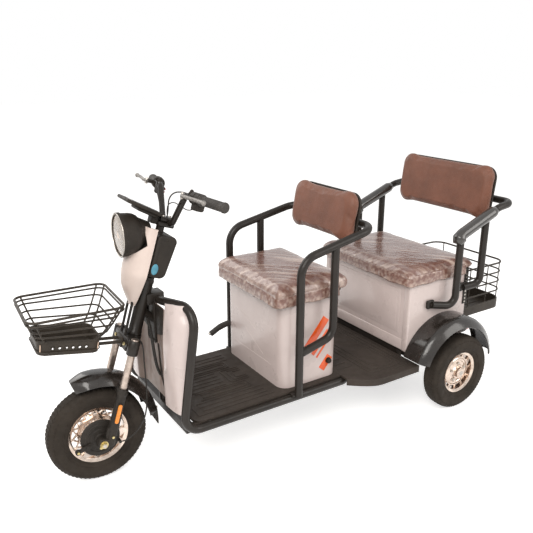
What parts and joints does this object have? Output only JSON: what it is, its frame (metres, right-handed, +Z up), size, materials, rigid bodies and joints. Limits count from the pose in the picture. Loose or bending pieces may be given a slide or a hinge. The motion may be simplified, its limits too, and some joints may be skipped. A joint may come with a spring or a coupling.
{
  "type": "electric passenger tricycle",
  "caption": "Open electric passenger tricycle with a driver's seat box, a rear bench with arm rails, low floor and wire baskets front and rear.",
  "frame": {"origin": "on the ground, in the middle of the vehicle's overall box", "axes": "+X forward, +Y to the vehicle's left, +Z up"},
  "size_m": [2.2143, 0.814, 1.0786],
  "materials": {
    "black_paint": "gloss",
    "floor_black": "matte",
    "white_plastic": "gloss",
    "brown_leatherette": "satin",
    "black_plastic": "satin",
    "grip_rubber": "matte",
    "tyre_rubber": "matte",
    "rim_metal": "gloss",
    "steel": "satin",
    "grey_casting": "satin",
    "red_lens": "gloss",
    "clear_lens": "gloss"
  },
  "bodies": {
    "chassis": {"side_tube_left": "black_paint", "side_tube_right": "black_paint", "head_frame": "black_paint", "underframe": "black_paint", "floor_front": "floor_black", "floor_rear": "floor_black", "leg_shield_left": "white_plastic", "leg_shield_right": "white_plastic", "leg_shield_centre": "white_plastic", "driver_box": "white_plastic", "battery_block": "black_plastic", "driver_rail": "black_paint", "driver_backrest": "brown_leatherette", "driver_back_shell": "black_plastic", "parking_lever": "black_paint", "bench_box": "white_plastic", "bench_rail": "black_paint", "arm_pad_left": "black_plastic", "arm_pad_right": "black_plastic", "bench_backrest": "brown_leatherette", "bench_back_shell": "black_plastic", "rear_fender_left": "black_plastic", "rear_fender_right": "black_plastic", "rear_axle": "black_paint", "rear_motor": "grey_casting", "leaf_spring_left": "black_paint", "leaf_spring_right": "black_paint", "rear_basket": "black_paint", "tail_lamp_left": "red_lens", "tail_lamp_right": "red_lens"},
    "steering": {"fork_crown": "black_paint", "fork_leg_left": "black_paint", "fork_leg_right": "black_paint", "front_axle": "steel", "handlebar": "black_paint", "grip_left": "grip_rubber", "grip_right": "grip_rubber", "control_left": "black_plastic", "control_right": "black_plastic", "instrument_panel": "black_plastic", "steering_shroud": "white_plastic", "column_cover": "black_plastic", "headlamp": "black_plastic", "headlamp_lens": "clear_lens", "front_fender": "black_plastic", "front_basket": "black_paint"},
    "front_wheel": {"front_tyre": "tyre_rubber", "front_rim": "rim_metal"},
    "rear_left_wheel": {"rear_left_tyre": "tyre_rubber", "rear_left_rim": "rim_metal"},
    "rear_right_wheel": {"rear_right_tyre": "tyre_rubber", "rear_right_rim": "rim_metal"},
    "driver_seat_lid": {"driver_lid": "black_plastic", "driver_cushion": "brown_leatherette"},
    "bench_seat_lid": {"bench_lid": "black_plastic", "bench_cushion": "brown_leatherette"}
  },
  "joints": [
    {"name": "steering_turn", "type": "hinge", "parent": "chassis", "child": "steering", "pos_m": [0.83825, 0, 0.16724], "axis": [-0.309, 0, 0.9511], "range_deg": [-36, 44]},
    {"name": "front_wheel_spin", "type": "hinge", "parent": "steering", "child": "front_wheel", "pos_m": [0.88663, -0.00356, 0.18296], "axis": [0.0663, 0.9976, 0.0216], "continuous": true},
    {"name": "rear_left_wheel_spin", "type": "hinge", "parent": "chassis", "child": "rear_left_wheel", "pos_m": [-0.62525, 0.366, 0.1695], "axis": [0, 1, 0], "continuous": true},
    {"name": "rear_right_wheel_spin", "type": "hinge", "parent": "chassis", "child": "rear_right_wheel", "pos_m": [-0.62525, -0.366, 0.1695], "axis": [0, 1, 0], "continuous": true},
    {"name": "driver_lid_hinge", "type": "hinge", "parent": "chassis", "child": "driver_seat_lid", "pos_m": [0.21475, 0, 0.6173], "axis": [0, 1, 0], "range_deg": [0, 85]},
    {"name": "bench_lid_hinge", "type": "hinge", "parent": "chassis", "child": "bench_seat_lid", "pos_m": [-0.38525, 0, 0.5973], "axis": [0, 1, 0], "range_deg": [0, 80]}
  ]
}
